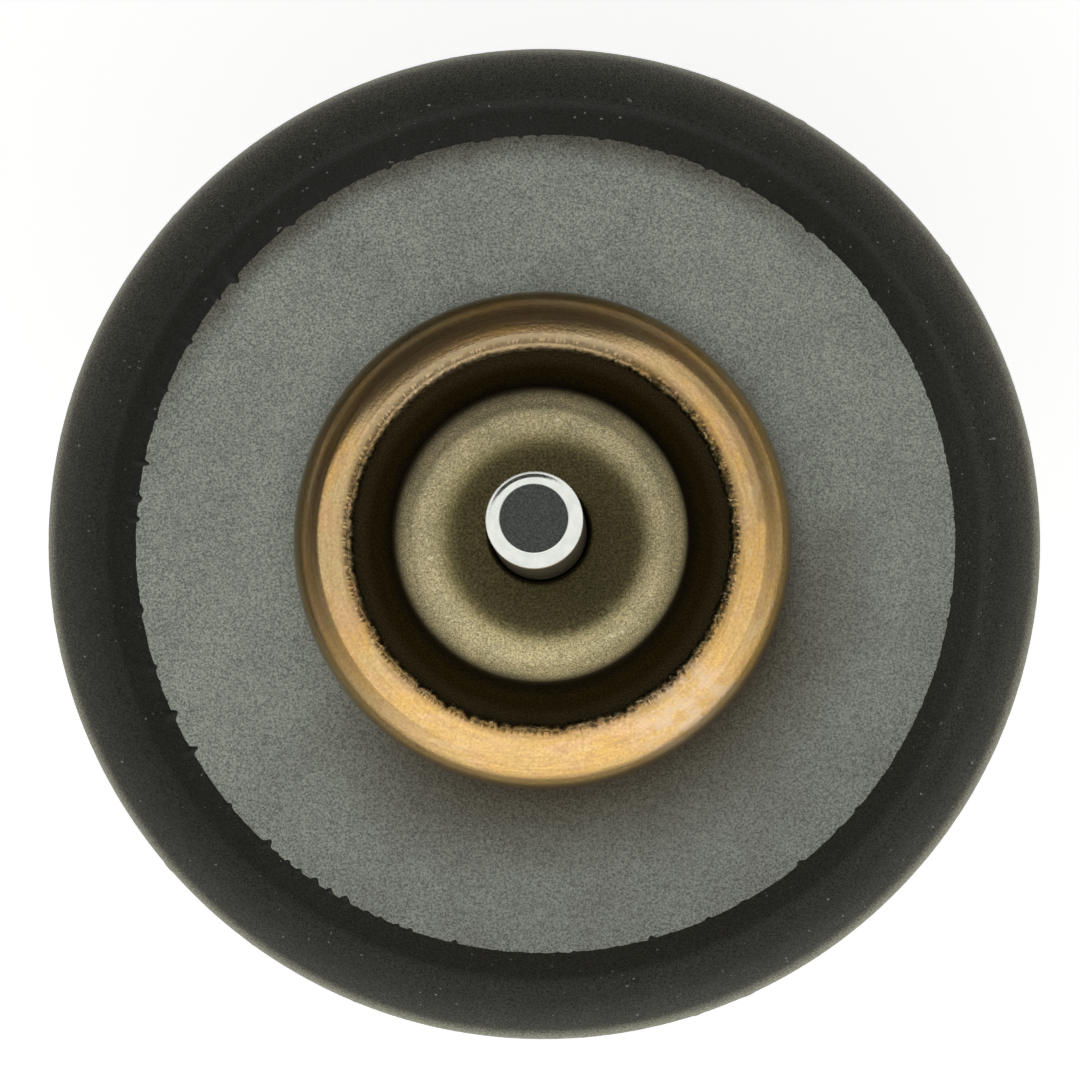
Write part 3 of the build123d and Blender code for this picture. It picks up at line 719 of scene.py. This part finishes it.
def strip_finish(name, light, dark, rough, blast, contrast, darkening=None):
    """Steel strip with a fine blasted or rolled grain and a cloudy oxide; darkening adds its own.
    """
    finish, tree, where = begun(name)
    cloud = between(tree, grain(tree, where, 2.6 * MM, 4.0), 0.30, 0.70)
    colour = tinted(tree, cloud, light, dark)
    if darkening:
        colour = darkening(tree, where, colour)
    pits = grain(tree, where, blast, 2.5, 0.6)
    flecks = between(tree, grain(tree, where, 3 * blast, 2.0), 0.62, 0.74, 0.0, contrast / 2)
    strength = plus(tree, between(tree, pits, 0.30, 0.70, 1 - contrast, 1 + contrast), flecks)
    colour = speckled(tree, colour, strength)
    relief = plus(tree, pits, times(tree, grain(tree, where, 3 * blast), 0.7))
    gloss = between(tree, pits, 0.3, 0.7, rough + 0.07, rough - 0.07)
    return surfaced(finish, colour, gloss, bumped(tree, relief, 0.006 * MM), 1.0)


def plate_darkening(tree, where, colour):
    """Painted shade along the rubber's edge at one side of the rim, and a brown halo beside the
    rolled cup.
    """
    uneven = times(tree, grain(tree, where, 1.2 * MM), 0.5 * MM)
    reach = plus(tree, off_axis(tree, where), uneven)
    # Painted shade along the rubber's inner edge, on one side of the rim.
    rim = band(tree, reach, seal_in_r, -1.1, 0.25)
    rim = times(tree, rim, on_side(tree, where, RUBBER_EDGE_SIDE, 0.3, 0.9, 0.0, 0.85))
    # A brown halo darkens the plate beside the rolled cup, strongest on one side.
    halo = band(tree, reach, crimp_r, 0.3, 4.6, 1.0, 0.0)
    halo = times(tree, halo, on_side(tree, where, HALO_SIDE, -0.1, 0.85, 0.0, 0.82))
    dull = on_side(tree, where, DULL_PLATE_SIDE, 0.1, 0.95, 0.0, 0.32)
    return coated(tree, colour, (dull, DULL_PLATE), (halo, BROWN_HALO), (rim, RUBBER_EDGE_SHADE))


plate_section = rounded(
    (collar_r, plate_low.z, CUT_EDGE), (collar_r, plate_z, COLLAR_LEAD),
    (FLAT_R, plate_z, PLATE_BEND), (rim_r, rim_z, CUT_EDGE), (rim_in_r, rim_in_z, CUT_EDGE),
    (flat_under_r, plate_under_z, PLATE_BEND), (collar_r + PLATE_T, plate_under_z, COLLAR_CORNER),
    (collar_r + PLATE_T, plate_low.z, CUT_EDGE),
)
blasted = strip_finish(
    "blasted_steel", LIGHT_PLATE, DARK_PLATE, 0.44, 0.07 * MM, 0.58, plate_darkening,
)
fitted(turned("plate_pressed", plate_section), "element", blasted, "valve_plate")


# Seal: black nitrile rubber moulded round the plate's rim. The mould's edge leaves small tongues
# of flash where the rubber runs out on the plate, and a few nibs on the widest ring.
CREST_WIDTH = 2.3 * MM
CREST_ROUND = 0.9 * MM
CREST_FLAT = 0.01 * MM
SIDE_DROP = 0.6 * MM
FOOT_SWEEP = 1.7 * MM
FOOT_WIDTH = 4.4 * MM
FOOT_ROUND = 0.5 * MM
SINK = 0.03 * MM
FLASH = 0.20 * MM
FLASH_REACH = 0.45 * MM
NIB_REACH = 0.5 * MM
OFF_CENTRE = (0.08 * MM, -0.06 * MM)
SEAL_POINTS = 1080
FLASH_WAVES = 26
FLASH_SPURS = 44
FLASH_FRAYS = 90
NIBS = 30
NIB_FRAYS = 60
SPUR_LEAN = 0.1
BLACK_RUBBER = (0.0215, 0.0230, 0.0172)
CLOUDY_RUBBER = (0.0262, 0.0275, 0.0215)
SLOPE_SHADE_RUBBER = (0.004, 0.0045, 0.0025)
GREY_BLOOM = (0.037, 0.0375, 0.030)
EDGE_LIGHT = (0.135, 0.13, 0.10)
RIM_LIGHT = (0.29, 0.29, 0.205)
DUST_SPECKS = (0.16, 0.16, 0.15)
RUBBER_SHEEN = (0.95, 0.95, 0.85, 1)
SLOPE_SHADE_SIDE = 100.0
BLOOM_SIDE = -55.0
EDGE_LIGHT_SIDE = 90.0
crest_r = seal_r - CREST_WIDTH
crest_z = seal_high.z
side_z = plate_z - SIDE_DROP


def flashed(radius, height, angle):
    """Uneven edge of the rubber on the plate, and small nibs on its widest ring."""
    around = Vector((cos(angle), sin(angle), 0))
    low_z, high_z = plate_under_z + 2 * SINK, plate_z + FLASH_REACH
    if radius < seal_in_r + FLASH_REACH and low_z < height < high_z:
        near = 1 - max(radius - seal_in_r, 0) / FLASH_REACH
        radius += near * (OFF_CENTRE[0] * cos(angle) + OFF_CENTRE[1] * sin(angle))
        waves = noise.noise(around * FLASH_WAVES + Vector((2, 0, 0)))
        frays = noise.noise(around * FLASH_FRAYS)
        spur = max(0, noise.noise(around * FLASH_SPURS + Vector((0, 9, 1))) - 0.22)
        west = 0.5 - 0.5 * cos(angle - SPUR_LEAN)
        radius -= FLASH * near * (0.12 * waves + 0.16 * frays + 1.3 * (spur * (0.5 + 2.0 * west)))
    if radius > seal_r - 0.4 * MM and abs(height - side_z) < NIB_REACH:
        near = 1 - abs(height - side_z) / NIB_REACH
        nib = max(0, noise.noise(around * NIBS + Vector((4, 4, 4))) - 0.42)
        radius += FLASH * near * (0.8 * nib + 0.03 * noise.noise(around * NIB_FRAYS))
    return radius, height


def rubber_finish():
    """Matt black nitrile rubber with a faint bloom and specks of dust, and painted shade and light.
    """
    finish, tree, where = begun("nitrile_rubber")
    reach = off_axis(tree, where)
    cloud = between(tree, grain(tree, where, 2.2 * MM, 4.0), 0.35, 0.7)
    # Painted shade on the inner slope by the crest, strongest on one side.
    slope_shade = band(tree, reach, crest_r, -0.5, 0.5, 0.8, 0.0)
    slope_shade = times(tree, slope_shade, on_side(tree, where, SLOPE_SHADE_SIDE, -0.9, 0.9))
    bloom = band(tree, reach, crest_r, 0.2, 1.0, 0.75, 0.0)
    bloom = times(tree, bloom, on_side(tree, where, BLOOM_SIDE, -0.3, 0.7, 0.15, 1.0))
    upper_side = band(tree, level(tree, where), side_z, -0.3, 0.4, 0.15, 1.0)
    # Painted light: the outer side lightens towards the rim, more on one side, and the rim
    # lightest.
    edge_light = between(tree, reach, crest_r + 0.5 * MM, seal_r + 0.3 * MM)
    edge_light = times(
        tree, edge_light, on_side(tree, where, EDGE_LIGHT_SIDE, -0.8, 0.9, 0.25, 0.8), upper_side,
    )
    rim_light = times(tree, band(tree, reach, seal_r, -0.45, -0.05, 0.0, 0.7), upper_side)
    specks = between(tree, grain(tree, where, 0.22 * MM, 1.0), 0.735, 0.77)
    colour = coated(
        tree, BLACK_RUBBER, (cloud, CLOUDY_RUBBER), (slope_shade, SLOPE_SHADE_RUBBER), (bloom, GREY_BLOOM),
        (edge_light, EDGE_LIGHT), (rim_light, RIM_LIGHT), (specks, DUST_SPECKS),
    )
    fine = grain(tree, where, 0.07 * MM, 2.5, 0.6)
    colour = speckled(tree, colour, between(tree, fine, 0.30, 0.70, 0.35, 1.65))
    relief = plus(tree, fine, times(tree, grain(tree, where, 0.5 * MM), 0.8))
    return surfaced(
        finish, colour, between(tree, fine, 0.3, 0.7, 0.40, 0.56), bumped(tree, relief, 0.005 * MM),
        Specular_IOR_Level=0.22, Sheen_Weight=0.16, Sheen_Roughness=0.35, Sheen_Tint=RUBBER_SHEEN,
    )


def swept(centre, across, tall, start, end, steps):
    """Points of a quarter ellipse about a centre, in degrees from level outward."""
    angles = [radians(start + (end - start) * k / steps) for k in range(steps + 1)]
    return [(centre[0] + across * cos(a), centre[1] + tall * sin(a)) for a in angles]


foot_in_r = seal_r - FOOT_WIDTH
foot_out_r = seal_r - FOOT_SWEEP
lower = swept((foot_out_r, side_z), FOOT_SWEEP, side_z - seal_low.z, -90, 0, 12)
upper = swept((crest_r, side_z), seal_r - crest_r, crest_z - side_z, 0, 78, 18)
inner = rounded(
    (*upper[-1], 0), (crest_r, crest_z - CREST_FLAT, CREST_ROUND), (seal_in_r, plate_z - SINK, 0),
    facet=8.0,
)[1:]
(top_r, top_z), (end_r, end_z) = inner[-2:]
slope = [
    (end_r + share * (top_r - end_r), end_z + share * (top_z - end_z))
    for share in (0.6, 0.4, 0.25, 0.12, 0.05)
]
grip = [
    (FLAT_R, plate_z - SINK), (rim_r - SINK, rim_z), (rim_in_r, rim_in_z + SINK),
    (flat_under_r, plate_under_z + SINK),
]
foot = rounded(
    (foot_in_r, plate_under_z + SINK, 0), (foot_in_r, seal_low.z, FOOT_ROUND),
    (foot_out_r, seal_low.z, 0),
)
seal_section = lower[1:] + upper[1:] + inner[:-1] + slope + inner[-1:] + grip + foot
seal_mesh = turned("seal_moulded", seal_section, SEAL_POINTS, flashed)
fitted(seal_mesh, "element", rubber_finish(), "valve_seal")


# Main spring: coiled from hard-drawn steel wire, with its end turns closed and ground flat. It
# spreads from the bracket's hub up to the plate, and is squeezed as the bracket rises.
MAIN_WIRE = 2.2 * MM
MAIN_TURNS = 3.25
COIL_GAP = 0.12 * MM
SLIDE_GAP = 0.3 * MM
STRAP_T = 1.3 * MM
SPRING_GAP = 0.3 * MM
LIGHT_WIRE = (0.34, 0.34, 0.33)
DARK_WIRE = (0.24, 0.235, 0.225)
DRAWN_SHINE = 1.7
spring_low, spring_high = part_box("main_spring")
hub_collar_r = CUP_R + SLIDE_GAP + STRAP_T


def wire_finish(name, light, dark):
    """Drawn wire: dark skin with fine lengthwise lines."""
    finish, tree, where = begun(name)
    marks = turning_marks(tree, where, 0.16 * MM, 7.0 * MM)
    cloud = between(tree, grain(tree, where, 2.0 * MM), 0.35, 0.7)
    lines = between(tree, marks, 0.5, 0.8, 0.0, 0.5)
    colour = coated(tree, light, (cloud, dark), (lines, [DRAWN_SHINE * part for part in light]))
    rough = between(tree, marks, 0.3, 0.7, 0.30, 0.46)
    return surfaced(finish, colour, rough, bumped(tree, marks, 0.008 * MM), 0.95)


def coiled(name, wire, foot_r, top_r, low, high, turns, around=28, per_turn=90):
    """Wire swept along closed end turns and evenly rising active turns, cut flat at its seats."""
    end_pitch = wire + COIL_GAP
    start_z = low - wire / 4
    climb = high - low + wire / 2 - 2 * end_pitch
    total = turns + 2
    count = round(total * per_turn)
    points, faces = [], []
    for i in range(count + 1):
        turn = total * i / count
        active = min(max(turn - 1, 0), turns) / turns
        closed = min(turn, 1) + max(turn - 1 - turns, 0)
        radius = foot_r + (top_r - foot_r) * active
        angle = 2 * pi * turn
        height = start_z + end_pitch * closed + climb * active
        for k in range(around):
            swing = 2 * pi * k / around
            r = radius + wire / 2 * cos(swing)
            z = min(max(height + wire / 2 * sin(swing), low), high)
            points.append((r * cos(angle), r * sin(angle), z))
            if i < count:
                here, there = i * around, (i + 1) * around
                on = (k + 1) % around
                faces.append((here + k, here + on, there + on, there + k))
    faces.append(tuple(range(around)))
    faces.append(tuple(range(count * around, (count + 1) * around)))
    mesh = built(name, points, faces)
    mesh.polygons[-1].use_smooth = mesh.polygons[-2].use_smooth = False
    mesh.set_sharp_from_angle(angle=radians(40))
    return mesh


def squeezed(part):
    """Gives a spring its own copy of its mesh."""
    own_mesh(part)


main_coil = coiled(
    "main_spring_coiled", MAIN_WIRE, hub_collar_r + SPRING_GAP + MAIN_WIRE / 2,
    foot_in_r - SPRING_GAP - MAIN_WIRE / 2, spring_low.z, spring_high.z, MAIN_TURNS,
)
wire_steel = wire_finish("spring_wire", LIGHT_WIRE, DARK_WIRE)
main_spring = fitted(main_coil, "element", wire_steel, "main_spring")
squeezed(main_spring)


# Bypass spring: coiled from thinner drawn wire in the same way. It spreads from the cup's foot
# down to the disc's hub, and is squeezed as the disc rises on the stem.
BYPASS_WIRE = 1.0 * MM
BYPASS_TURNS = 2.0
BYPASS_FOOT_R = 6.5 * MM
BYPASS_TOP_R = 4.05 * MM
bypass_low, bypass_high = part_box("bypass_spring")
bypass_coil = coiled(
    "bypass_spring_coiled", BYPASS_WIRE, BYPASS_FOOT_R, BYPASS_TOP_R,
    bypass_low.z, bypass_high.z, BYPASS_TURNS, around=20,
)
bypass_spring = fitted(bypass_coil, "element", wire_steel, "bypass_spring")
squeezed(bypass_spring)


# Bracket: pressed from steel strip. The main spring sits on its hub and holds it down on the stop
# washer, and the ears of its two arms rest on ledges in the housing.
MERGE_GAP = 0.001 * MM
FLAT_TURN = 1.0
EDGE_TURN = 40.0
SMOOTH_TURN = 32.0
PALE_ZINC = (0.50, 0.50, 0.47)
DULL_ZINC = (0.40, 0.40, 0.37)
STRIP_EDGE = 0.1 * MM


def pressed(name, node, edge):
    """Copy of a pressed piece's shape with the blanking tool's small edge rounding."""
    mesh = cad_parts[node].data.copy()
    mesh.name = name
    mesh.materials.clear()
    work = bmesh.new()
    work.from_mesh(mesh)
    bmesh.ops.remove_doubles(work, verts=work.verts, dist=MERGE_GAP)
    bmesh.ops.dissolve_limit(
        work, angle_limit=radians(FLAT_TURN), verts=work.verts, edges=work.edges,
    )
    pairs = [line for line in work.edges if len(line.link_faces) == 2]
    sharp = [line for line in pairs if line.calc_face_angle() > radians(EDGE_TURN)]
    bmesh.ops.bevel(
        work, geom=sharp, offset=edge, segments=3, profile=0.5, affect="EDGES", clamp_overlap=True,
    )
    work.to_mesh(mesh)
    work.free()
    mesh.shade_smooth()
    mesh.set_sharp_from_angle(angle=radians(SMOOTH_TURN))
    return mesh


strip = strip_finish("zinc_strip", PALE_ZINC, DULL_ZINC, 0.40, 0.15 * MM, 0.10)
bracket_mesh = pressed("bracket_pressed", "spring_bracket", STRIP_EDGE)
fitted(bracket_mesh, "bracket", strip, "spring_bracket")


# Stop washer: stamped from steel and hardened, with softly rounded edges. It lies loose round the
# cup, and the bracket's hub bears down on it.
WASHER_GAP = 0.1 * MM
WASHER_POINTS = 180
PALE_WASHER = (0.46, 0.46, 0.44)
DARK_WASHER = (0.36, 0.36, 0.34)


def flat_washer(name, node, hole_r, edge):
    """Flat ring with lightly rounded edges."""
    low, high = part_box(node)
    return turned(name, rounded(
        (hole_r, low.z, edge), (high.x, low.z, edge), (high.x, high.z, edge),
        (hole_r, high.z, edge),
    ), WASHER_POINTS)


washer_steel = strip_finish("washer_steel", PALE_WASHER, DARK_WASHER, 0.34, 0.12 * MM, 0.08)
stop_mesh = flat_washer("stop_washer_turned", "stop_washer", CUP_R + WASHER_GAP, CUT_EDGE)
fitted(stop_mesh, "element", washer_steel, "stop_washer")


# Stop ring: blanked from blued spring steel, with a plier hole each side of its mouth. It is
# snapped into the cup's groove and holds the washer and the bracket up.
LIGHT_BLUED = (0.16, 0.165, 0.18)
DARK_BLUED = (0.11, 0.11, 0.12)
RING_EDGE = 0.07 * MM
blued = strip_finish("blued_spring_steel", LIGHT_BLUED, DARK_BLUED, 0.36, 0.14 * MM, 0.10)
ring_mesh = pressed("stop_ring_pressed", "stop_ring", RING_EDGE)
fitted(ring_mesh, "element", blued, "stop_ring")


# Bypass disc: pressed from steel, with a flat rim that closes on the bypass port and a raised hub
# that slides on the cup's stem.
DISC_T = 1.2 * MM
DISC_EDGE = 0.3 * MM
DISC_BEND = 0.7 * MM
DISC_GAP = 0.25 * MM
HUB_TOP_R = 7.4 * MM
HUB_SLOPE = 45.0
PALE_DISC = (0.44, 0.45, 0.42)
DARK_DISC = (0.36, 0.37, 0.34)
disc_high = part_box("bypass_disc")[1]
stem_hole_r = STEM_R + DISC_GAP
dish = disc_high.z - DISC_T
shift = DISC_T * tan(radians(HUB_SLOPE / 2))
disc_section = rounded(
    (stem_hole_r, dish, CUT_EDGE), (HUB_TOP_R - shift, dish, DISC_BEND),
    (HUB_TOP_R - shift + dish, 0, DISC_BEND), (disc_high.x, 0, CUT_EDGE),
    (disc_high.x, DISC_T, DISC_EDGE), (HUB_TOP_R + dish, DISC_T, DISC_BEND),
    (HUB_TOP_R, disc_high.z, DISC_BEND), (stem_hole_r, disc_high.z, CUT_EDGE),
)
disc_steel = strip_finish("disc_steel", PALE_DISC, DARK_DISC, 0.42, 0.12 * MM, 0.12)
disc_mesh = turned("bypass_disc_pressed", disc_section)
fitted(disc_mesh, "bypass", disc_steel, "bypass_disc")


# Thrust washer: stamped from the same hardened steel as the stop washer. It lies loose round the
# stem on the clip, and takes the disc's push.
THRUST_EDGE = 0.06 * MM
thrust_hole_r = STEM_R + WASHER_GAP
thrust_mesh = flat_washer("thrust_washer_turned", "thrust_washer", thrust_hole_r, THRUST_EDGE)
fitted(thrust_mesh, "element", washer_steel, "thrust_washer")


# Clip: blanked from blued spring steel with three inward lugs. It is pushed into the stem's
# groove from the side and carries the thrust washer.
CLIP_EDGE = 0.06 * MM
clip_mesh = pressed("clip_pressed", "retaining_clip", CLIP_EDGE)
fitted(clip_mesh, "element", blued, "retaining_clip")


# Table top: a plain white sheet that the thermostat stands on, foot down. It glows a little where
# it is seen or mirrored, so that it stays as white as the light tent.
FLOOR_R = 2.2
FLOOR_POINTS = 64
FLOOR_GLOW = 0.50
SHEET_WHITE = (0.88, 0.88, 0.87)
floor_mesh = bpy.data.meshes.new("table_top")
angles = [2 * pi * k / FLOOR_POINTS for k in range(FLOOR_POINTS)]
corners = [(FLOOR_R * cos(angle), FLOOR_R * sin(angle), 0) for angle in angles]
floor_mesh.from_pydata(corners, [], [tuple(range(FLOOR_POINTS))])
floor = bpy.data.objects.new("table_top", floor_mesh)
bpy.context.scene.collection.objects.link(floor)
sheet, tree = new_finish("white_sheet")
rays = add(tree, "LightPath").outputs
seen = arithmetic(tree, "MAXIMUM", rays["Is Camera Ray"], rays["Is Glossy Ray"])
seen = arithmetic(tree, "MAXIMUM", seen, rays["Is Transmission Ray"])
paper = add(tree, "BsdfDiffuse", {"Color": painted(SHEET_WHITE)})
lit = {"Color": (1, 1, 1, 1), "Strength": times(tree, seen, FLOOR_GLOW)}
glow = add(tree, "Emission", lit)
finished(sheet, add(tree, "AddShader", {0: paper.outputs[0], 1: glow.outputs[0]}))
floor_mesh.materials.append(sheet)


# Light: a white tent leaning to the near side, open overhead for the lens and low at the far side,
# with a bright line of the white table along the horizon.
FAR_SIDE = 97.0
FAR_SHADE = 0.10
NEAR_FALL = 2.6
ROOF_SHADE = 0.68
GAP_SIDE = 106.0
HEM_LOW = 0.57
HEM_HIGH = 0.76
HEM_SOFT = 0.03
OPENING = 0.055
OPEN_TILT = 6.0
OPEN_SIDE = -20.0
OPEN_EDGE = (0.865, 0.955)
TENT_STRENGTH = 1.35
world = bpy.data.worlds.new("light_tent")
bpy.context.scene.world = world
world.use_nodes = True
tree = world.node_tree
tree.nodes.clear()
ray = add(tree, "TexCoord").outputs["Generated"]
far = towards(tree, ray, FAR_SIDE)
hem = on_side(tree, ray, GAP_SIDE, 0.5, 0.95, HEM_LOW, HEM_HIGH)
cloth = between(tree, minus(tree, level(tree, ray), hem), -HEM_SOFT, HEM_SOFT)
roof = between(tree, far, -0.9, 0.1, 1.0, ROOF_SHADE)
near = arithmetic(tree, "POWER", between(tree, far, -1.0, 1.0, 1.0, 0.0), NEAR_FALL)
wall = plus(tree, times(tree, near, 1 - FAR_SHADE), FAR_SHADE)
tent = plus(tree, wall, times(tree, cloth, minus(tree, roof, wall)))
tilt, turn = radians(OPEN_TILT), radians(OPEN_SIDE)
open_top = along(tree, ray, (sin(tilt) * cos(turn), sin(tilt) * sin(turn), cos(tilt)))
open_top = between(tree, open_top, *OPEN_EDGE)
tent = times(tree, tent, minus(tree, 1.0, open_top))
tent = plus(tree, tent, times(tree, open_top, OPENING))
shone = add(tree, "CombineColor", {"Red": tent, "Green": tent, "Blue": tent}).outputs[0]
backdrop = add(tree, "Background", {"Color": shone, "Strength": TENT_STRENGTH})
add(tree, "OutputWorld", {"Surface": backdrop.outputs[0]})


# Camera: a long lens on a stand above the table. It looks down on the pin from just off its
# axis, with the Y axis running up the picture.
LENS = 229.1
SENSOR = 36.0
CLIP_NEAR = 0.05
CLIP_FAR = 10.0
CAMERA_AT = Vector((6.83, -16.51, 313.0)) * MM
LOOK_AT = Vector((-0.10, -0.015, 38.0)) * MM
camera = bpy.data.objects.new("camera", bpy.data.cameras.new("camera"))
camera.data.lens = LENS
camera.data.sensor_width = SENSOR
camera.data.clip_start = CLIP_NEAR
camera.data.clip_end = CLIP_FAR
away = (CAMERA_AT - LOOK_AT).normalized()
right = Vector((0, 1, 0)).cross(away).normalized()
turned_to = Matrix((right, away.cross(right), away)).transposed().to_4x4()
camera.matrix_world = Matrix.Translation(CAMERA_AT) @ turned_to
bpy.context.scene.collection.objects.link(camera)
bpy.context.scene.camera = camera
bpy.context.scene.view_settings.view_transform = "Standard"
